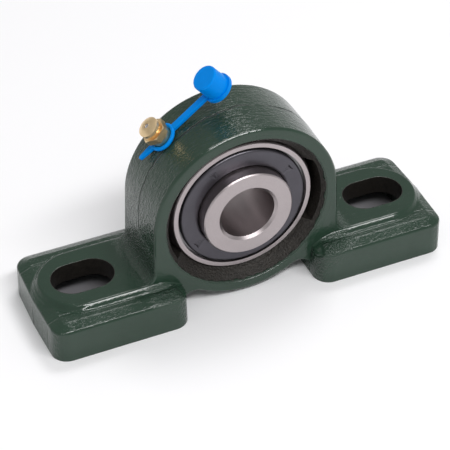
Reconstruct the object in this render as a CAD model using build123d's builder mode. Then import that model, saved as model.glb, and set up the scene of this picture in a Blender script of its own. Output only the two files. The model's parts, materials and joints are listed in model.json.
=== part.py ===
"""Pillow block bearing: a cast housing on two slotted feet, carrying a ball bearing insert.

The insert's spherical outer ring swivels in the housing's spherical seat. Its extended inner
ring turns on eight balls in a snap cage, and is locked to a shaft by two set screws.

Frame: origin on the base plane under the shaft axis, X along the base, Y along the shaft,
Z up. The insert's short side faces -Y and its long side, with the set screws, faces +Y.
Lengths are in millimetres and angles in degrees.
"""
from build123d import *
from math import cos, hypot, radians, sin, sqrt, tan
import os

os.makedirs("parts", exist_ok=True)

# Housing, base
base_length = 127.0
base_width = 38.0
base_corner_radius = 5.0
end_crease = 0.6            # the ends of the base come to a slight ridge at the parting plane
foot_draft_inset = 0.2      # at the top of its walls
foot_inner_end = 20.8       # half the arch between the feet
foot_edge_height = 10.2     # where the foot's wall turns into its top
foot_crown_rise = 1.5       # the top slopes up this much ...
foot_margin = 3.4           # ... over this width, all round
foot_rim_radius = 0.8
foot_crown_radius = 1.5
bolt_spacing = 95.0
slot_length = 19.0
slot_width = 13.0
pad_height = 13.4           # raised pad round each slot, above the base plane
pad_width = 24.0
pad_end = 60.5              # round end of the pad, from the shaft axis
pad_wall_slope = 50.0
pad_rim_radius = 0.5
pad_foot_radius = 0.8
foot_roof = 6.0             # the foot is hollow underneath, up to this far below the pad's face
foot_wall = 4.0             # round the hollow
hollow_start = 35.0         # from the shaft axis
hollow_draft = 3.0
hollow_corner_radius = 3.0

# Housing, ring
ring_wall = 5.8             # from the insert's outside to the ring's, at the parting plane
ring_lift = 0.9             # the ring's underside above the base plane
ring_width = 24.0
casting_draft = 1.25
ring_edge_radius = 0.9
flank_flare = 0.5           # how far a flank leans out between the shaft axis and the foot
flank_foot_radius = 4.0
flank_bite = 0.15           # the flank's fillet ends this far inside the pad
arch_radius = 3.8
mouth_step = 2.2            # the cast mouth's rim is this far outside the insert
ridge_step = 0.2            # and its foot this far inside, where the seat's machined bevel starts
ridge_offset = 9.2          # from the middle of the seat
seat_width = 15.2
loading_slot_gap = 0.8      # round the insert
loading_slot_height = 22.4
grease_groove_width = 6.4
grease_groove_depth = 1.4
grease_groove_offset = 2.4

# Insert
insert_diameter = 47.0
seat_clearance = 0.02
outer_ring_width = 17.0
outer_ring_chamfer = 0.3
bore_diameter = 17.0
bore_chamfer = 0.8
inner_ring_wall = 5.5       # at its shoulders
inner_ring_chamfer = 0.35
short_side = 12.7           # from the middle of the outer ring to the inner ring's short end
long_side = 18.3            # to its long end
ball_count = 8
ball_diameter = 7.938
pitch_inset = 2.0           # balls' centres, inwards from midway between inner ring and insert's outside
race_clearance = 0.015
race_conformity = 0.52      # radius of a raceway's groove over the ball's diameter
outer_race_depth = 1.634    # shoulder to the raceway's bottom
grease_hole_diameter = 1.5
grease_hole_offset = 4.9

# Seals and flingers
seal_step = 1.3             # outer ring's shoulder to the wider mouth for the seal
seal_groove_depth = 0.35
seal_groove_width = 1.0
seal_plate_thickness = 0.5
seal_depth = 1.15           # outer ring's face to the seal plate
seal_lip_height = 2.6       # inner ring to the seal plate's edge
seal_lip_thickness = 0.9
seal_lip_gap = 0.03
seal_lip_flange = 3.0       # how far the rubber laps the plate
flinger_thickness = 0.6
flinger_proud = 0.45        # past the outer ring's face
flinger_rim_gap = 0.65      # its rim inside the outer ring's mouth
flinger_rim = 1.1
flinger_bend = 1.0          # outer radius of its bends
flinger_collar = 1.5
flinger_fit = 0.01
fold_count = 4              # triangular dents that grip the inner ring
fold_angle = 33.0
fold_step = 0.6             # inner ring to the fold's point
fold_length = 3.4
fold_width = 2.6
fold_depth = 0.4
fold_wall_slope = 50.0

# Cage
cage_inner_gap = 1.3        # round the inner ring
cage_outer_gap = 0.8        # to the outer ring's shoulder
cage_back = 1.331           # behind the balls
cage_horn = 2.1             # in front of them
horn_gap = 1.9              # between the horns of neighbouring pockets
horn_length = 3.6
pocket_clearance = 0.08

# Set screws
screw_diameter = 6.0
screw_clearance = 0.04
screw_end_distance = 4.7    # from the inner ring's long end
screw_spread = 62.0
screw_length = 5.2
screw_bore_gap = 0.1        # tip to the bore's wall
socket_size = 3.0
socket_depth = 2.6
screw_edge = 0.4
screw_cup_radius = 1.7
screw_cup_depth = 0.7
screw_cup_slope = 50.0

# Grease nipple, over the grease groove
nipple_angle = 41.0         # from the vertical, towards -X
nipple_offset = 3.8         # from the middle of the seat, towards +Y
nipple_countersink = 0.7
nipple_thread_diameter = 6.0
nipple_thread_clearance = 0.03
nipple_thread_length = 4.2
nipple_shank_diameter = 6.24
nipple_shank_height = 2.9
nipple_hex = 7.0
nipple_hex_height = 2.2
nipple_hex_turn = 20.0
nipple_hex_bevel = 0.45     # how far its corners are turned off
nipple_hex_bevel_slope = 30.0
nipple_neck_diameter = 4.4
nipple_neck_height = 0.7
nipple_head_diameter = 6.4
nipple_head_height = 2.1
nipple_tip_diameter = 3.0
nipple_head_flare = 0.4
nipple_head_land = 0.9
nipple_head_shoulder = 0.5
nipple_bore_diameter = 2.3  # widened part, for the spring and check ball
nipple_mouth_diameter = 1.5
nipple_mouth_depth = 0.2
nipple_duct_diameter = 1.4
check_ball_diameter = 2.0
check_ball_clearance = 0.01
check_ball_travel = 0.8
spring_wire = 0.3
spring_radius = 0.85
spring_turns = 4
spring_pitch = 0.75
spring_clearance = 0.05
grease_duct_diameter = 3.0

# Dust cap: a ring round the nipple's shank, a strap and the cap in one moulding
strap_turn = 4.3            # the strap's heading, from the housing ring's tangent towards -Y
strap_thickness = 0.95
strap_width = 2.3
strap_edge_radius = 0.3
strap_clearance = 0.05
collar_clearance = 0.08
collar_thickness = 1.2
tail_length = 9.2
tail_root_width = 2.3
tail_tip_width = 1.3
cap_distance = 21.3         # nipple's axis to the cap's axis
cap_drop = 0.8              # the cap's open end reaches this far below the strap
cap_bore_clearance = 0.08
cap_wall = 0.65
cap_height = 7.0
cap_rim_diameter = 9.1
cap_rim_height = 1.1
cap_edge_radius = 0.5

tolerance = 0.01            # when edges and corners are found by their place

# ---- Worked out from the above ----
insert_radius = insert_diameter / 2
seat_radius = insert_radius + seat_clearance
mouth_radius = insert_radius + mouth_step
ridge_radius = insert_radius - ridge_step
loading_slot_radius = insert_radius + loading_slot_gap
ring_radius = insert_radius + ring_wall
shaft_height = ring_radius + ring_lift
outer_half = outer_ring_width / 2
bore_radius = bore_diameter / 2
inner_ring_radius = bore_radius + inner_ring_wall
ball_radius = ball_diameter / 2
pitch_radius = (insert_radius + inner_ring_radius) / 2 - pitch_inset
raceway_bottom = pitch_radius + ball_radius + race_clearance
outer_shoulder_radius = raceway_bottom - outer_race_depth
seal_mouth_radius = outer_shoulder_radius + seal_step
seal_plate_inner_radius = inner_ring_radius + seal_lip_height
flinger_radius = seal_mouth_radius - flinger_rim_gap
cage_inner_radius = inner_ring_radius + cage_inner_gap
cage_outer_radius = outer_shoulder_radius - cage_outer_gap
cage_end = ball_radius + cage_back
shaft_axis = Axis((0, 0, shaft_height), (0, 1, 0))
# Half section through the shaft axis: first coordinate along +Y, second away from the axis
section = Plane(origin=(0, 0, shaft_height), x_dir=(0, 1, 0), z_dir=(1, 0, 0))


def on_sphere(radius, offset):
    """Radius of a sphere's section at this distance from its middle."""
    return sqrt(radius**2 - offset**2)


def save(part, name):
    part.label = name
    export_step(part, f"parts/{name}.step")


# ---- Housing ----
foot_crown_height = foot_edge_height + foot_crown_rise
pad_skirt = (pad_height - foot_edge_height) / tan(radians(pad_wall_slope))
pad_end_centre = pad_end - pad_width / 2
pad_foot_reach = pad_width / 2 + (pad_height - foot_crown_height) / tan(radians(pad_wall_slope))
hollow_end = base_length / 2 - foot_wall
flank_foot = ring_radius + flank_flare
flank_end = pad_height - flank_bite
nipple_seat = ring_radius
nipple_origin = (0, nipple_offset, shaft_height)
nipple_direction = Vector(-sin(radians(nipple_angle)), 0, cos(radians(nipple_angle)))
nipple_plane = Plane(
    origin=nipple_origin,
    x_dir=(cos(radians(nipple_angle)), 0, sin(radians(nipple_angle))),
    z_dir=nipple_direction,
)
nipple_axis = Axis(nipple_origin, nipple_direction)
# Half section through the nipple's axis: first coordinate along it, second away from it
nipple_section = Plane(origin=nipple_origin, x_dir=nipple_direction, z_dir=(0, 1, 0))
nipple_foot = nipple_seat - nipple_thread_length


def foot_outline(height, inset):
    """Plan of the +X foot at this height, its walls drawn in by inset."""
    inner, outer, side = foot_inner_end + inset, base_length / 2 - inset, base_width / 2 - inset
    with BuildSketch(Plane.XY.offset(height)) as plan:
        with BuildLine():
            Polyline(
                (inner, -side), (outer - end_crease, -side), (outer, 0), (outer - end_crease, side), (inner, side),
                close=True,
            )
        make_face()
        upright_corners = plan.vertices().filter_by(lambda corner: abs(corner.Y) > side / 2)
        fillet(upright_corners, radius=base_corner_radius - inset)
    return plan.sketch


def edges_at(part, height):
    return part.edges().filter_by_position(Axis.Z, height - tolerance, height + tolerance)


def from_pad_spine(point):
    """Distance from the line that the pad's round ends are centred on."""
    return hypot(max(ring_radius - point.X, point.X - pad_end_centre, 0), point.Y)


with BuildPart() as foot:
    # Walls with rounded upright corners, then a sloping margin to the foot's top
    foot_edge = foot_outline(foot_edge_height, foot_draft_inset)
    loft([foot_outline(0, 0), foot_edge], ruled=True)
    loft([foot_edge, foot_outline(foot_crown_height, foot_draft_inset + foot_margin)], ruled=True)
    fillet(edges_at(foot, foot_edge_height), radius=foot_rim_radius)
    fillet(edges_at(foot, foot_crown_height), radius=foot_crown_radius)
    # The raised pad round its bolt slot, running back into the ring's flank
    with BuildSketch(Plane.XY.offset(foot_edge_height)):
        with Locations(((pad_end_centre + ring_radius) / 2, 0)):
            SlotCenterToCenter(pad_end_centre - ring_radius, pad_width + 2 * pad_skirt)
    extrude(amount=pad_height - foot_edge_height, taper=90 - pad_wall_slope)
    pad_foot_edges = edges_at(foot, foot_crown_height).filter_by(
        lambda edge: abs(from_pad_spine(edge @ 0.5) - pad_foot_reach) < tolerance
    )
    fillet(pad_foot_edges, radius=pad_foot_radius)
    fillet(edges_at(foot, pad_height), radius=pad_rim_radius)
    # The hollow underneath, round the bolt slot
    with BuildSketch(Plane.XY):
        with Locations(((hollow_start + hollow_end) / 2, 0)):
            RectangleRounded(hollow_end - hollow_start, base_width - 2 * foot_wall, hollow_corner_radius)
    extrude(amount=pad_height - foot_roof, taper=hollow_draft, mode=Mode.SUBTRACT)

with BuildPart() as housing:
    # The ring and its flanks, drawn from the front and drafted both ways from the parting plane
    with BuildSketch(Plane.XZ) as front_view:
        with BuildLine():
            flank_points = [
                (ring_radius, shaft_height),
                (foot_inner_end, shaft_height),
                (foot_inner_end, 0),
                (flank_foot + flank_foot_radius, 0),
                (flank_foot + flank_foot_radius, flank_end),
            ]
            Polyline(*flank_points)
            RadiusArc(flank_points[-1], (flank_foot, flank_end + flank_foot_radius), flank_foot_radius)
            Line((flank_foot, flank_end + flank_foot_radius), flank_points[0])
        make_face()
        mirror(about=Plane.YZ)
        with Locations((0, shaft_height)):
            Circle(ring_radius)
        arch_corners = front_view.vertices().filter_by(
            lambda corner: abs(abs(corner.X) - foot_inner_end) < tolerance and 0 < corner.Y < shaft_height
        )
        fillet(arch_corners, radius=arch_radius)
    extrude(amount=ring_width / 2, taper=casting_draft, both=True)
    ring_faces = housing.faces().filter_by(Axis.Y)
    fillet(ring_faces.edges(), radius=ring_edge_radius)
    add(foot.part)
    mirror(foot.part, about=Plane.YZ)
    # Bolt slots
    with BuildSketch(Plane.XY):
        with GridLocations(bolt_spacing, 0, 2, 1):
            SlotOverall(slot_length, slot_width)
    extrude(amount=shaft_height, mode=Mode.SUBTRACT)
    # Bore: cast mouth, machined bevel and spherical seat, the same from both sides
    with BuildSketch(section):
        with BuildLine():
            seat_edge = (seat_width / 2, on_sphere(seat_radius, seat_width / 2))
            ThreePointArc((-seat_edge[0], seat_edge[1]), (0, seat_radius), seat_edge)
            for side in (-1, 1):
                Polyline(
                    (side * seat_edge[0], seat_edge[1]),
                    (side * ridge_offset, ridge_radius),
                    (side * ring_width / 2, mouth_radius),
                    (side * ring_width / 2, 0),
                    (0, 0),
                )
        make_face()
    revolve(axis=shaft_axis, mode=Mode.SUBTRACT)
    # Grease groove round the seat, fed by a duct from the nipple's hole
    with BuildSketch(section):
        with Locations((grease_groove_offset, seat_radius)):
            Rectangle(grease_groove_width, 2 * grease_groove_depth)
    revolve(axis=shaft_axis, mode=Mode.SUBTRACT)
    # Loading slots: the insert goes in turned on edge and is then swung square
    with BuildSketch(Plane.XZ):
        with Locations((0, shaft_height)):
            Circle(loading_slot_radius)
            Rectangle(2 * loading_slot_radius, loading_slot_height, mode=Mode.INTERSECT)
    extrude(amount=ring_width / 2, mode=Mode.SUBTRACT)
    # Countersunk hole for the grease nipple, and its duct to the groove
    hole_radius = nipple_thread_diameter / 2 + nipple_thread_clearance
    with BuildSketch(nipple_plane.offset(nipple_foot)):
        Circle(hole_radius)
    extrude(amount=nipple_thread_length * 2, mode=Mode.SUBTRACT)
    mouth = hole_radius + nipple_countersink
    with BuildSketch(nipple_section):
        with BuildLine():
            Polyline((nipple_seat - mouth, 0), (nipple_seat, mouth), (nipple_seat, 0), close=True)
        make_face()
    revolve(axis=nipple_axis, mode=Mode.SUBTRACT)
    with BuildSketch(nipple_plane):
        Circle(grease_duct_diameter / 2)
    extrude(amount=nipple_seat, mode=Mode.SUBTRACT)
save(housing.part, "housing")

# ---- Insert: outer ring ----
raceway_radius = race_conformity * ball_diameter
raceway_centre = raceway_bottom - raceway_radius
raceway_half = sqrt(raceway_radius**2 - (outer_shoulder_radius - raceway_centre) ** 2)
seal_shoulder = outer_half - seal_depth - seal_groove_width
seal_groove_end = outer_half - seal_depth
face_radius = on_sphere(insert_radius, outer_half - outer_ring_chamfer)

with BuildPart() as outer_ring:
    with BuildSketch(section):
        with BuildLine():
            ThreePointArc(
                (outer_ring_chamfer - outer_half, face_radius),
                (0, insert_radius),
                (outer_half - outer_ring_chamfer, face_radius),
            )
            for side in (-1, 1):
                Polyline(
                    (side * (outer_half - outer_ring_chamfer), face_radius),
                    (side * outer_half, face_radius - outer_ring_chamfer),
                    (side * outer_half, seal_mouth_radius),
                    (side * seal_groove_end, seal_mouth_radius),
                    (side * seal_groove_end, seal_mouth_radius + seal_groove_depth),
                    (side * seal_shoulder, seal_mouth_radius + seal_groove_depth),
                    (side * seal_shoulder, outer_shoulder_radius),
                    (side * raceway_half, outer_shoulder_radius),
                )
            ThreePointArc(
                (-raceway_half, outer_shoulder_radius), (0, raceway_bottom), (raceway_half, outer_shoulder_radius)
            )
        make_face()
    revolve(axis=shaft_axis)
    # Grease holes from the housing's groove to the inside
    with BuildSketch(Plane.XY.offset(shaft_height)):
        with Locations((0, grease_hole_offset)):
            Circle(grease_hole_diameter / 2)
    extrude(amount=insert_radius, both=True, mode=Mode.SUBTRACT)
save(outer_ring.part, "outer_ring")

# ---- Insert: extended inner ring ----
inner_raceway_bottom = pitch_radius - ball_radius - race_clearance
inner_raceway_centre = inner_raceway_bottom + raceway_radius
inner_raceway_half = sqrt(raceway_radius**2 - (inner_raceway_centre - inner_ring_radius) ** 2)
screw_offset = long_side - screw_end_distance
screw_tip = bore_radius + screw_bore_gap
screw_planes = {
    name: Plane(
        origin=(0, screw_offset, shaft_height),
        x_dir=(0, 1, 0),
        z_dir=(sin(radians(angle)), 0, cos(radians(angle))),
    )
    for name, angle in (("left_set_screw", -screw_spread / 2), ("right_set_screw", screw_spread / 2))
}

with BuildPart() as inner_ring:
    with BuildSketch(section):
        with BuildLine():
            ends = ((-short_side, 1), (long_side, -1))
            for end, inward in ends:
                raceway_edge = -inward * inner_raceway_half
                Polyline(
                    (raceway_edge, inner_ring_radius),
                    (end + inward * inner_ring_chamfer, inner_ring_radius),
                    (end, inner_ring_radius - inner_ring_chamfer),
                    (end, bore_radius + bore_chamfer),
                    (end + inward * bore_chamfer, bore_radius),
                    (0, bore_radius),
                )
            ThreePointArc(
                (-inner_raceway_half, inner_ring_radius),
                (0, inner_raceway_bottom),
                (inner_raceway_half, inner_ring_radius),
            )
        make_face()
    revolve(axis=shaft_axis)
    for screw_plane in screw_planes.values():
        with BuildSketch(screw_plane):
            Circle(screw_diameter / 2)
        extrude(amount=inner_ring_radius * 2, mode=Mode.SUBTRACT)
save(inner_ring.part, "inner_ring")

# ---- Set screws: cup point, hexagon socket ----
for name, screw_plane in screw_planes.items():
    with BuildPart() as set_screw:
        with BuildSketch(screw_plane.offset(screw_tip)):
            Circle(screw_diameter / 2 - screw_clearance)
        extrude(amount=screw_length)
        chamfer(set_screw.edges().filter_by(GeomType.CIRCLE), length=screw_edge)
        with BuildSketch(screw_plane.offset(screw_tip + screw_length)):
            RegularPolygon(socket_size / 2, 6, major_radius=False)
        extrude(amount=-socket_depth, mode=Mode.SUBTRACT)
        with BuildSketch(screw_plane.offset(screw_tip)):
            Circle(screw_cup_radius)
        extrude(amount=screw_cup_depth, taper=screw_cup_slope, mode=Mode.SUBTRACT)
    save(set_screw.part, name)

# ---- Balls, and the snap cage whose horns reach past their centres ----
ball_angles = [radians(360 * index / ball_count) for index in range(ball_count)]
ball_centres = [
    (pitch_radius * sin(angle), 0, shaft_height + pitch_radius * cos(angle)) for angle in ball_angles
]
for number, centre in enumerate(ball_centres, start=1):
    with BuildPart() as ball:
        with Locations(centre):
            Sphere(ball_radius)
    save(ball.part, f"ball_{number}")

with BuildPart() as cage:
    with BuildSketch(section):
        with Locations(((cage_end - cage_horn) / 2, (cage_inner_radius + cage_outer_radius) / 2)):
            Rectangle(cage_end + cage_horn, cage_outer_radius - cage_inner_radius)
    revolve(axis=shaft_axis)
    with Locations(*ball_centres):
        Sphere(ball_radius + pocket_clearance, mode=Mode.SUBTRACT)
    with BuildSketch(Plane.XZ.offset(cage_horn)):
        with Locations((0, shaft_height)):
            with PolarLocations(pitch_radius, ball_count, start_angle=90 + 180 / ball_count):
                Rectangle(2 * (cage_outer_radius - cage_inner_radius), horn_gap)
    extrude(amount=-horn_length, mode=Mode.SUBTRACT)
save(cage.part, "cage")

# ---- Seals and flingers, one of each on either side ----
plate_rim = seal_mouth_radius + seal_groove_depth
plate_face = seal_shoulder + seal_plate_thickness
lip_face = seal_shoulder + seal_lip_thickness
flinger_face = outer_half + flinger_proud
flinger_bore = inner_ring_radius + flinger_fit
inner_bend = flinger_bend - flinger_thickness
fold_start = inner_ring_radius + fold_step

for name, side in (("front", -1), ("rear", 1)):
    with BuildPart() as seal_plate:
        with BuildSketch(section):
            with Locations((side * (seal_shoulder + plate_face) / 2, (plate_rim + seal_plate_inner_radius) / 2)):
                Rectangle(seal_plate_thickness, plate_rim - seal_plate_inner_radius)
        revolve(axis=shaft_axis)
    save(seal_plate.part, f"{name}_seal_plate")

    with BuildPart() as seal_lip:
        with BuildSketch(section):
            with BuildLine():
                Polyline(
                    (side * seal_shoulder, seal_plate_inner_radius),
                    (side * plate_face, seal_plate_inner_radius),
                    (side * plate_face, seal_plate_inner_radius + seal_lip_flange),
                    (side * lip_face, seal_plate_inner_radius + seal_lip_flange),
                    (side * lip_face, inner_ring_radius + seal_lip_gap),
                    (side * plate_face, inner_ring_radius + seal_lip_gap),
                    close=True,
                )
            make_face()
        revolve(axis=shaft_axis)
    save(seal_lip.part, f"{name}_seal_lip")

    with BuildPart() as flinger:
        with BuildSketch(section) as flinger_section:
            with BuildLine():
                back = flinger_face - flinger_thickness
                Polyline(
                    (side * (flinger_face - flinger_collar), flinger_bore),
                    (side * flinger_face, flinger_bore),
                    (side * flinger_face, flinger_radius),
                    (side * (flinger_face - flinger_rim), flinger_radius),
                    (side * (flinger_face - flinger_rim), flinger_radius - flinger_thickness),
                    (side * back, flinger_radius - flinger_thickness),
                    (side * back, flinger_bore + flinger_thickness),
                    (side * (flinger_face - flinger_collar), flinger_bore + flinger_thickness),
                    close=True,
                )
            make_face()
            bends = flinger_section.vertices().group_by(lambda corner: round(abs(corner.X), 3))
            fillet(bends[-1], radius=flinger_bend)
            fillet(bends[-2], radius=inner_bend)
        revolve(axis=shaft_axis)
        inwards = Plane(origin=(0, side * flinger_face, shaft_height), x_dir=(1, 0, 0), z_dir=(0, -side, 0))
        with BuildSketch(inwards):
            with PolarLocations(0, fold_count, start_angle=side * fold_angle):
                Polygon(
                    (fold_start, 0),
                    (fold_start + fold_length, fold_width / 2),
                    (fold_start + fold_length, -fold_width / 2),
                    align=None,
                )
        extrude(amount=fold_depth, taper=fold_wall_slope, mode=Mode.SUBTRACT)
    save(flinger.part, f"{name}_flinger")

# ---- Grease nipple, check ball and spring ----
hex_foot = nipple_seat + nipple_shank_height
hex_top = hex_foot + nipple_hex_height
neck_top = hex_top + nipple_neck_height
nipple_tip = neck_top + nipple_head_height
mouth_foot = nipple_tip - nipple_mouth_depth
mouth_radius_nipple = nipple_mouth_diameter / 2
shank_radius = nipple_shank_diameter / 2
head_radius = nipple_head_diameter / 2
hex_corner = nipple_hex / 2 / cos(radians(30))
check_ball_radius = check_ball_diameter / 2
seat_reach = nipple_bore_diameter / 2 - mouth_radius_nipple
# The ball rests in a 45 degree seat under the mouth
check_ball_centre = mouth_foot + mouth_radius_nipple - sqrt(2) * (check_ball_radius + check_ball_clearance)
spring_contact = sqrt(check_ball_radius**2 - spring_radius**2)
spring_top = check_ball_centre - spring_contact - spring_wire - spring_clearance
spring_foot = spring_top - spring_turns * spring_pitch
spring_seat = spring_foot - spring_wire / 2 - check_ball_travel - spring_clearance

with BuildPart() as grease_nipple:
    with BuildSketch(nipple_plane.offset(hex_foot)):
        RegularPolygon(nipple_hex / 2, 6, major_radius=False, rotation=nipple_hex_turn)
    extrude(amount=nipple_hex_height)
    with BuildSketch(nipple_section):
        with BuildLine():
            Polyline(
                (hex_top - nipple_hex_bevel * tan(radians(nipple_hex_bevel_slope)), hex_corner),
                (hex_top, hex_corner - nipple_hex_bevel),
                (hex_top, hex_corner),
                close=True,
            )
        make_face()
    revolve(axis=nipple_axis, mode=Mode.SUBTRACT)
    with BuildSketch(nipple_section):
        with BuildLine():
            Polyline(
                (nipple_foot, 0),
                (nipple_foot, nipple_thread_diameter / 2),
                (nipple_seat, nipple_thread_diameter / 2),
                (nipple_seat, shank_radius),
                (hex_foot, shank_radius),
                (hex_foot, nipple_neck_diameter / 2),
                (neck_top, nipple_neck_diameter / 2),
                (neck_top + nipple_head_flare, head_radius),
                (neck_top + nipple_head_flare + nipple_head_land, head_radius),
            )
            ThreePointArc(
                (neck_top + nipple_head_flare + nipple_head_land, head_radius),
                (nipple_tip - nipple_head_shoulder, head_radius - nipple_head_shoulder),
                (nipple_tip, nipple_tip_diameter / 2),
            )
            Polyline((nipple_tip, nipple_tip_diameter / 2), (nipple_tip, 0), (nipple_foot, 0))
        make_face()
    revolve(axis=nipple_axis)
    with BuildSketch(nipple_section):
        with BuildLine():
            Polyline(
                (nipple_foot, 0),
                (nipple_foot, nipple_duct_diameter / 2),
                (spring_seat, nipple_duct_diameter / 2),
                (spring_seat, nipple_bore_diameter / 2),
                (mouth_foot - seat_reach, nipple_bore_diameter / 2),
                (mouth_foot, mouth_radius_nipple),
                (nipple_tip, mouth_radius_nipple),
                (nipple_tip, 0),
                close=True,
            )
        make_face()
    revolve(axis=nipple_axis, mode=Mode.SUBTRACT)
save(grease_nipple.part, "grease_nipple")

with BuildPart() as check_ball:
    with Locations(nipple_plane.offset(check_ball_centre).origin):
        Sphere(check_ball_radius)
save(check_ball.part, "nipple_check_ball")

with BuildPart() as check_spring:
    with BuildLine() as coil:
        Helix(
            pitch=spring_pitch,
            height=spring_turns * spring_pitch,
            radius=spring_radius,
            center=nipple_plane.offset(spring_foot).origin,
            direction=nipple_direction,
        )
    with BuildSketch(Plane(origin=coil.line @ 0, z_dir=coil.line % 0)):
        Circle(spring_wire / 2)
    sweep()
save(check_spring.part, "nipple_spring")

# ---- Dust cap with its strap ----
strap_foot = nipple_seat + strap_clearance
strap_heading = nipple_plane.x_dir.rotate(nipple_axis, -strap_turn)
strap_plane = Plane(origin=nipple_plane.offset(strap_foot).origin, x_dir=strap_heading, z_dir=nipple_direction)
collar_bore = shank_radius + collar_clearance
collar_tube = collar_thickness / 2
cap_plane = strap_plane.offset(-cap_drop)
cap_bore = head_radius + cap_bore_clearance

with BuildPart() as dust_cap:
    # Strap from the tail's rounded tip to the cap
    with BuildSketch(strap_plane):
        with BuildLine():
            Polyline(
                (cap_distance, -strap_width / 2),
                (0, -strap_width / 2),
                (-collar_bore, -tail_root_width / 2),
                (tail_tip_width / 2 - tail_length, -tail_tip_width / 2),
            )
            ThreePointArc(
                (tail_tip_width / 2 - tail_length, -tail_tip_width / 2),
                (-tail_length, 0),
                (tail_tip_width / 2 - tail_length, tail_tip_width / 2),
            )
            Polyline(
                (tail_tip_width / 2 - tail_length, tail_tip_width / 2),
                (-collar_bore, tail_root_width / 2),
                (0, strap_width / 2),
                (cap_distance, strap_width / 2),
                (cap_distance, -strap_width / 2),
            )
        make_face()
    extrude(amount=strap_thickness)
    fillet(dust_cap.faces().sort_by(nipple_axis)[-1].edges(), radius=strap_edge_radius)
    with BuildSketch(strap_plane):
        Circle(collar_bore + collar_tube)
    extrude(amount=strap_thickness, mode=Mode.SUBTRACT)
    # Ring of round section
    with Locations(strap_plane.offset(collar_tube)):
        Torus(collar_bore + collar_tube, collar_tube)
    # Cap, closed at the top, with a rim round its open end
    with BuildSketch(cap_plane):
        with Locations((cap_distance, 0)):
            Circle(cap_rim_diameter / 2)
    extrude(amount=cap_rim_height)
    with BuildSketch(cap_plane):
        with Locations((cap_distance, 0)):
            Circle(cap_bore + cap_wall)
    extrude(amount=cap_height)
    fillet(dust_cap.faces().sort_by(nipple_axis)[-1].edges(), radius=cap_edge_radius)
    with BuildSketch(cap_plane):
        with Locations((cap_distance, 0)):
            Circle(cap_bore)
    extrude(amount=cap_height - cap_wall, mode=Mode.SUBTRACT)
save(dust_cap.part, "dust_cap")
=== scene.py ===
"""Pillow block bearing: finishes, floor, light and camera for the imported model.

Lengths are in metres in the model's own frame: X along the base, Y along the shaft, Z up.
"""
import json
import math

import bpy
from mathutils import Matrix, Vector

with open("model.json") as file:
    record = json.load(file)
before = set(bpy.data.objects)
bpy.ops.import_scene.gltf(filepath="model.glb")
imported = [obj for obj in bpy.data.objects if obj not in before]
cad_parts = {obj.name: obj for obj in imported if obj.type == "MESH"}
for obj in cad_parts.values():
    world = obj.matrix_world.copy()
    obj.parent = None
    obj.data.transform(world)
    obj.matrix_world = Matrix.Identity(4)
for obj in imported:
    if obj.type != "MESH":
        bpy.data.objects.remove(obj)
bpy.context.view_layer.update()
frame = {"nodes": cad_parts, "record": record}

MM = 0.001

# ---- The housing's own sizes, where one finish ends and the next begins ----
shaft_height = 30.2 * MM
ring_radius = 29.3 * MM
ring_half_width = 12.0 * MM
mouth_radius = 25.7 * MM
loading_slot_radius = 24.3 * MM
loading_slot_half = 11.2 * MM
slot_spacing = 95.0 * MM
slot_straight = 6.0 * MM
slot_half_width = 6.5 * MM
foot_end = 63.5 * MM
foot_half_width = 19.0 * MM
pad_end_centre = 48.5 * MM
pad_half_width = 12.0 * MM
pad_height = 13.4 * MM
hollow_start = 31.0 * MM


# ---- Shader maths ----
class Value:
    """A number socket; expressions on it add Math nodes to its material."""

    def __init__(self, shader, socket):
        self.shader, self.socket = shader, socket

    def math(self, operation, *others):
        return self.shader.calculate(operation, self, *others)

    def __add__(self, other):
        return self.math("ADD", other)

    __radd__ = __add__

    def __sub__(self, other):
        return self.math("SUBTRACT", other)

    def __rsub__(self, other):
        return self.shader.calculate("SUBTRACT", other, self)

    def __mul__(self, other):
        return self.math("MULTIPLY", other)

    __rmul__ = __mul__

    def __abs__(self):
        return self.math("ABSOLUTE")

    def most(self, other):
        return self.math("MAXIMUM", other)

    def root(self):
        return self.math("SQRT")

    def ramp(self, low, high):
        """0 below low, 1 above high, smooth between; low may be the larger, which turns it round."""
        settings = {"interpolation_type": "SMOOTHSTEP", "clamp": True}
        return self.shader.add("ShaderNodeMapRange", settings, {0: self, 1: low, 2: high}).value()

    def band(self, start, full, fading, end):
        """1 from full to fading, 0 before start and after end, smooth between."""
        return self.ramp(start, full) * self.ramp(end, fading)


class Added:
    """A node just added; its outputs by name or number."""

    def __init__(self, shader, node):
        self.shader, self.node = shader, node

    def value(self, output=0):
        return Value(self.shader, self.node.outputs[output])

    def out(self, output=0):
        return self.node.outputs[output]


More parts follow.
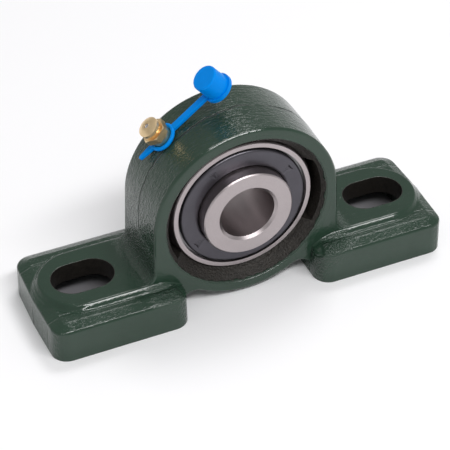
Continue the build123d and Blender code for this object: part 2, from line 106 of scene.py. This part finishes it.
class Graph:
    """A node tree that grows by expressions; x, y and z are the parts of its coordinates."""

    def __init__(self, tree, coordinates):
        self.tree = tree
        self.point = self.add("ShaderNodeTexCoord", {}, {}).out(coordinates)
        parts = self.add("ShaderNodeSeparateXYZ", {}, {0: self.point})
        self.x, self.y, self.z = (parts.value(axis) for axis in range(3))

    def add(self, kind, settings, inputs):
        node = self.tree.nodes.new(kind)
        for name, setting in settings.items():
            setattr(node, name, setting)
        for name, given in inputs.items():
            self.feed(node.inputs[name], given)
        return Added(self, node)

    def feed(self, socket, given):
        """A link to the socket, or a constant on it; a colour may leave out its alpha."""
        if isinstance(given, Value):
            given = given.socket
        if isinstance(given, bpy.types.NodeSocket):
            self.tree.links.new(given, socket)
        elif isinstance(given, tuple) and len(given) == 3 and socket.type == "RGBA":
            socket.default_value = (*given, 1.0)
        else:
            socket.default_value = given

    def calculate(self, operation, *numbers):
        return self.add("ShaderNodeMath", {"operation": operation}, dict(enumerate(numbers))).value()

    def vector(self, x, y, z):
        return self.add("ShaderNodeCombineXYZ", {}, {0: x, 1: y, 2: z}).out()

    def noise(self, scale, detail, roughness, at=None, **more):
        """Between 0 and 1, about 0.5 on the whole; scale is in grains to the metre."""
        at = self.point if at is None else at
        inputs = {"Vector": at, "Scale": scale, "Detail": detail, "Roughness": roughness, **more}
        return self.add("ShaderNodeTexNoise", {}, inputs).value("Fac")

    def blend(self, factor, first, second):
        """Colour from first to second as factor goes from 0 to 1."""
        inputs = {0: factor, 6: first, 7: second}
        return self.add("ShaderNodeMix", {"data_type": "RGBA"}, inputs).out(2)


class Shader(Graph):
    """A procedural material around one Principled BSDF."""

    def __init__(self, name, **constants):
        self.material = bpy.data.materials.new(name)
        self.material.use_nodes = True
        super().__init__(self.material.node_tree, "Object")
        self.surface = self.tree.nodes["Principled BSDF"]
        self.set(**constants)

    def set(self, **inputs):
        """Principled sockets by name, with _ for a space."""
        for name, given in inputs.items():
            self.feed(self.surface.inputs[name.replace("_", " ")], given)

    def bump(self, *layers):
        """Normal from (height, depth in metres) layers, one Bump node on another."""
        normal = None
        for height, depth in layers:
            inputs = {"Height": height, "Distance": depth, "Strength": 1.0}
            if normal is not None:
                inputs["Normal"] = normal
            normal = self.add("ShaderNodeBump", {}, inputs).out()
        self.set(Normal=normal)

    def shaft_radius(self):
        """Distance from the shaft's axis."""
        return distance(self.x, self.z - shaft_height)


def distance(across, along):
    """Length of the straight line with these two offsets."""
    return (across * across + along * along).root()


def linear(red, green, blue):
    """Scene-linear colour from 8-bit screen values."""
    def channel(value):
        value /= 255.0
        return value / 12.92 if value <= 0.04045 else ((value + 0.055) / 1.055) ** 2.4

    return tuple(channel(value) for value in (red, green, blue))


def darker(color, share):
    return tuple(channel * share for channel in color)


# ---- The housing's finish ----
class Casting(Shader):
    """Enamel on sand-cast iron, with the distances that its masks start from."""

    def __init__(self, name):
        super().__init__(name, IOR=1.5)
        self.radius = self.shaft_radius()
        self.depth = abs(self.y)
        self.from_pad = distance((abs(self.x) - pad_end_centre).most(0.0), self.y)
        self.on_ring = self.radius.band(
            ring_radius - 2.2 * MM,
            ring_radius - 1.2 * MM,
            ring_radius + 0.5 * MM,
            ring_radius + 1.2 * MM,
        )

    def bare_metal(self):
        """The bore with its cast mouths, the loading slots, the bolt slots' walls and the underside."""
        raggedness = 1.4 * MM
        ragged = (self.noise(420.0, 2.0, 0.6) - 0.5) * raggedness
        bore = (self.radius + ragged).ramp(mouth_radius - 0.3 * MM, mouth_radius - 0.6 * MM)
        above_shaft = abs(self.z - shaft_height)
        loading_slots = above_shaft.ramp(loading_slot_half + 0.15 * MM, loading_slot_half + 0.05 * MM)
        loading_slots = loading_slots * self.radius.ramp(
            loading_slot_radius + 0.12 * MM, loading_slot_radius + 0.04 * MM
        )
        on_front = self.y.ramp(0.3 * MM, 0.1 * MM)
        past_straight = (abs(abs(self.x) - slot_spacing / 2) - slot_straight / 2).most(0.0)
        bolt_slots = distance(past_straight, self.y).ramp(
            slot_half_width + 0.25 * MM, slot_half_width + 0.05 * MM
        )
        underside = self.z.ramp(0.12 * MM, 0.04 * MM)
        return bore.most(loading_slots * on_front).most(bolt_slots).most(underside)

    def skin(self, bare):
        """Share of the cast relief that shows, less on the ring's faces and the feet's fronts."""
        ring_face = self.depth.band(
            ring_half_width - 0.5 * MM,
            ring_half_width - 0.1 * MM,
            ring_half_width + 0.2 * MM,
            ring_half_width + 0.6 * MM,
        )
        foot_front = self.depth.ramp(foot_half_width - 0.5 * MM, foot_half_width - 0.2 * MM)
        lost_on_face, lost_on_front, lost_on_bare = 0.75, 0.45, 0.5
        share = (1.0 - lost_on_face * ring_face) * (1.0 - lost_on_front * foot_front)
        return share * (1.0 - lost_on_bare * bare)

    def streaks(self):
        """Short waves that run round the ring's outside, calmer towards its top and at its rims."""
        per_metre_around, per_metre_across, per_metre_out = 520.0, 1500.0, 600.0
        at_foot, lost_at_top = 1.4, 0.85
        angle = self.x.math("ARCTAN2", self.z - shaft_height)
        around = self.vector(
            angle * (ring_radius * per_metre_around),
            self.y * per_metre_across,
            self.radius * per_metre_out,
        )
        height = self.noise(1.0, 2.0, 0.6, at=around, Distortion=0.8)
        towards_top = self.z.ramp(26.0 * MM, 46.0 * MM)
        off_rims = self.depth.ramp(ring_half_width - 0.4 * MM, ring_half_width - 0.8 * MM)
        return height * self.on_ring * (at_foot - lost_at_top * towards_top) * off_rims

    def sand_grain(self):
        """Coarse grain in the fillets by the ring, finer on the feet, least on their rims."""
        on_feet, added_by_ring, lost_on_pad, lost_on_rims = 0.42, 2.1, 0.2, 0.55
        by_ring = self.radius.ramp(ring_radius + 10.0 * MM, ring_radius + 4.0 * MM)
        pad_top = self.z.ramp(pad_height - 0.5 * MM, pad_height - 0.1 * MM)
        pad_rim = self.from_pad.band(
            pad_half_width - 0.5 * MM,
            pad_half_width - 0.1 * MM,
            pad_half_width + 1.7 * MM,
            pad_half_width + 2.2 * MM,
        )
        foot_rim = self.depth.ramp(foot_half_width - 1.5 * MM, foot_half_width - 1.1 * MM)
        off_ring = 1.0 - self.on_ring
        rims = pad_rim.most(foot_rim) * off_ring
        coarse = on_feet + added_by_ring * by_ring - lost_on_pad * pad_top
        coarse = coarse * (1.0 - lost_on_rims * rims)
        return self.noise(1500.0, 2.0, 0.65) * coarse * off_ring

    def rounded_edges(self):
        """Height of the enamel's roll-off at the rims of the feet, pads and ring, in millimetres."""
        foot_roll, pad_roll, ring_roll = 0.21, 0.06, 0.042
        foot_rim = self.depth.ramp(foot_half_width - 0.4 * MM, foot_half_width - 1.1 * MM)
        pad_rim = self.from_pad.ramp(pad_half_width, pad_half_width + 0.35 * MM)
        pad_foot = self.from_pad.ramp(pad_half_width + 1.0 * MM, pad_half_width + 1.35 * MM)
        below_ring = self.z.ramp(pad_height + 1.0 * MM, pad_height + 0.2 * MM)
        ring_rim = abs(self.depth - (ring_half_width - 0.36 * MM)).ramp(0.0, 0.24 * MM)
        on_feet = foot_roll * foot_rim + pad_roll * ((pad_rim + pad_foot) * below_ring)
        return on_feet + ring_roll * (ring_rim * ring_rim * self.on_ring)

    def parting_line(self):
        """An uneven, broken seam round the middle of the ring and down the feet's ends."""
        wandering, outer_half, dark_half = 5.0 * MM, 0.45 * MM, 0.10 * MM
        ends = abs(self.x).ramp(foot_end - 0.8 * MM, foot_end - 0.2 * MM)
        wander = (self.noise(110.0, 2.0, 0.6) - 0.5) * wandering
        line = abs(self.y + wander).ramp(outer_half, dark_half)
        unbroken = self.noise(75.0, 1.0, 0.5).ramp(0.30, 0.50)
        return line * self.on_ring.most(ends) * unbroken


def painted_casting():
    """Dark green enamel over sand-cast iron; bare where it is machined or masked."""
    enamel_dark, enamel_light = linear(32, 52, 40), linear(38, 60, 47)
    seam_dark = linear(12, 19, 15)
    iron_dark, iron_light = linear(20, 18, 16), linear(50, 46, 41)
    wave_depth, lump_depth, cast_depth, edge_depth = 0.04 * MM, 0.07 * MM, 0.36 * MM, 1.0 * MM
    seam_dip = 0.6  # of cast_depth

    casting = Casting("green enamel on cast iron")
    bare = casting.bare_metal()
    seam = casting.parting_line()
    shade = casting.noise(160.0, 2.0, 0.5)
    enamel = casting.blend(shade, enamel_dark, enamel_light)
    enamel = casting.blend(0.75 * seam, enamel, seam_dark)
    iron = casting.blend(casting.noise(700.0, 2.0, 0.6), iron_dark, iron_light)
    casting.set(
        Base_Color=casting.blend(bare, enamel, iron),
        Metallic=0.35 * bare,
        Roughness=0.09 + 0.05 * shade + 0.35 * bare + 0.45 * seam,
    )
    skin = casting.skin(bare)
    relief = casting.streaks() + casting.sand_grain()
    casting.bump(
        (casting.noise(130.0, 1.0, 0.4), wave_depth),
        (casting.noise(700.0, 1.0, 0.5) * skin, lump_depth),
        (relief * skin - seam_dip * seam, cast_depth),
        (casting.rounded_edges(), edge_depth),
    )
    return casting.material


# ---- The finishes of the other pieces ----
def ground_steel(name, shade, roughness, turned=True):
    """Bearing steel with fine marks that run round the shaft's axis."""
    light, dark = linear(*shade), darker(linear(*shade), 0.68)
    marks_per_metre, mark_depth = 9000.0, 0.0012 * MM
    shader = Shader(name, Metallic=1.0)
    rings = shader.vector(shader.shaft_radius() * marks_per_metre, shader.y * marks_per_metre, 0.0)
    marks = shader.noise(1.0, 3.0, 0.7, at=rings)
    clouds = shader.noise(140.0, 2.0, 0.5)
    grit = shader.noise(3600.0, 1.0, 0.5)
    shader.set(
        Base_Color=shader.blend(0.25 * clouds + 0.30 * marks + 0.45 * grit, dark, light),
        Roughness=roughness + 0.10 * marks,
    )
    if turned:
        shader.bump((marks, mark_depth))
    return shader.material


def pressed_steel(name, shade, roughness):
    """Satin sheet steel, rolled and pressed, with a faint cloudiness."""
    light, dark = linear(*shade), darker(linear(*shade), 0.8)
    shader = Shader(name, Metallic=0.85)
    clouds = shader.noise(260.0, 3.0, 0.6)
    shader.set(Base_Color=shader.blend(clouds, dark, light), Roughness=roughness + 0.08 * clouds)
    shader.bump((shader.noise(2600.0, 2.0, 0.6), 0.002 * MM))
    return shader.material


def turned_brass():
    """Brass off the lathe, a little dulled."""
    dull, bright = linear(226, 195, 149), linear(250, 226, 184)
    shader = Shader("turned brass", Metallic=1.0)
    clouds = shader.noise(700.0, 3.0, 0.6)
    shader.set(Base_Color=shader.blend(clouds, dull, bright), Roughness=0.26 + 0.14 * clouds)
    shader.bump((shader.noise(1800.0, 2.0, 0.6), 0.012 * MM))
    return shader.material


def moulded(name, shade, roughness, gloss=0.5):
    """Injection-moulded plastic or rubber with a faint orange peel."""
    light, dark = linear(*shade), darker(linear(*shade), 0.88)
    shader = Shader(name, IOR=1.5, Specular_IOR_Level=gloss)
    clouds = shader.noise(500.0, 2.0, 0.5)
    shader.set(Base_Color=shader.blend(clouds, dark, light), Roughness=roughness + 0.08 * clouds)
    shader.bump((shader.noise(1400.0, 2.0, 0.5), 0.006 * MM))
    return shader.material


finishes = {
    "painted_casting": painted_casting(),
    "ground_steel": ground_steel("ground bearing steel", (188, 179, 180), roughness=0.28),
    "flinger_steel": pressed_steel("dark pressed steel", (88, 86, 92), roughness=0.26),
    "seal_steel": pressed_steel("pressed steel", (150, 150, 152), roughness=0.35),
    "seal_rubber": moulded("nitrile rubber", (30, 30, 31), roughness=0.55),
    "ball_steel": ground_steel("polished balls", (215, 214, 216), roughness=0.08, turned=False),
    "cage_plastic": moulded("natural polyamide", (205, 196, 168), roughness=0.45),
    "screw_steel": pressed_steel("black oxide steel", (58, 57, 58), roughness=0.32),
    "nipple_brass": turned_brass(),
    "spring_steel": pressed_steel("spring wire", (170, 170, 172), roughness=0.3),
    "cap_plastic": moulded("blue polyethylene", (0, 133, 226), roughness=0.30, gloss=0.06),
}
slot_of = {part["node"]: part["material_slot"] for part in frame["record"]["subparts"]}
for name, node in frame["nodes"].items():
    for place in node.material_slots:
        place.material = finishes[slot_of[name]]


# ---- Floor ----
def floor_finish():
    """Plain white, which keeps the object's shadow; painted shade under the hollow feet, where little
    light reaches the floor.
    """
    # The darker colour is painted shade for the floor inside the hollow feet
    white, painted_shade_grey = (0.955, 0.95, 0.965), (0.24, 0.235, 0.25)
    fade = 3.0 * MM
    inset = 1.0 * MM
    shader = Shader("white floor", Roughness=0.6)
    hollow_end, hollow_side = foot_end - inset, foot_half_width - inset
    along = abs(shader.x).band(hollow_start, hollow_start + fade, hollow_end - fade, hollow_end)
    # Painted shade: the floor under the hollow feet is darkened, for the shade inside them
    painted_shade_under_foot = along * abs(shader.y).ramp(hollow_side, hollow_side - fade)
    shader.set(Base_Color=shader.blend(painted_shade_under_foot, white, painted_shade_grey))
    return shader.material


def make_floor():
    """A wide square at the base plane."""
    half = 3.0
    corners = [(-half, -half, 0.0), (half, -half, 0.0), (half, half, 0.0), (-half, half, 0.0)]
    mesh = bpy.data.meshes.new("floor")
    mesh.from_pydata(corners, [], [(0, 1, 2, 3)])
    mesh.materials.append(floor_finish())
    floor = bpy.data.objects.new("floor", mesh)
    bpy.context.scene.collection.objects.link(floor)


make_floor()


# ---- Light tent and lamps ----
def make_tent():
    """World light, brighter round the horizon than overhead."""
    wall_light, roof_light = 0.84, 0.43
    wall_top, roof_edge = 0.02, 0.40  # heights of direction: 0 is the horizon, 1 overhead
    world = bpy.data.worlds.new("light tent")
    bpy.context.scene.world = world
    world.use_nodes = True
    tent = Graph(world.node_tree, "Generated")
    background = world.node_tree.nodes["Background"]
    level = wall_light + (roof_light - wall_light) * tent.z.ramp(wall_top, roof_edge)
    tent.feed(background.inputs["Strength"], level)
    tent.feed(background.inputs["Color"], (1.0, 1.0, 1.0))


def softbox(name, position, size, power):
    """An area lamp at position that faces the insert."""
    lamp = bpy.data.lights.new(name, "AREA")
    lamp.shape = "RECTANGLE"
    lamp.size, lamp.size_y = size
    lamp.energy = power
    aim = Vector((0.0, 0.0, 0.03))
    holder = bpy.data.objects.new(name, lamp)
    holder.location = position
    holder.rotation_euler = (aim - Vector(position)).to_track_quat("-Z", "Y").to_euler()
    bpy.context.scene.collection.objects.link(holder)


make_tent()
softbox("main, high at the back", position=(0.38, 0.38, 1.06), size=(0.42, 0.32), power=3.2)
softbox("strip above the front", position=(0.12, -0.66, 0.99), size=(1.00, 0.17), power=8.6)


# ---- Camera ----
def make_camera():
    """Straight towards target from azimuth and elevation, with a slight roll."""
    azimuth = math.radians(-23.73)
    elevation = math.radians(39.7)
    roll = math.radians(-0.29)
    away = 556.8 * MM
    target = Vector((-1.99, 0.0, 17.21)) * MM
    focal_pixels = 1869.0
    image_pixels = 450

    camera = bpy.data.cameras.new("camera")
    camera.sensor_width = 36.0
    camera.lens = focal_pixels * camera.sensor_width / image_pixels
    holder = bpy.data.objects.new("camera", camera)
    bpy.context.scene.collection.objects.link(holder)
    bpy.context.scene.camera = holder

    level = math.cos(elevation)
    back = Vector((math.sin(azimuth) * level, -math.cos(azimuth) * level, math.sin(elevation)))
    right = Vector((0.0, 0.0, 1.0)).cross(back).normalized()
    above = back.cross(right)
    rolled_right = right * math.cos(roll) + above * math.sin(roll)
    rolled_above = above * math.cos(roll) - right * math.sin(roll)
    turn = Matrix((rolled_right, rolled_above, back)).transposed().to_4x4()
    holder.matrix_world = Matrix.Translation(target + back * away) @ turn


make_camera()
bpy.context.scene.view_settings.view_transform = "Standard"
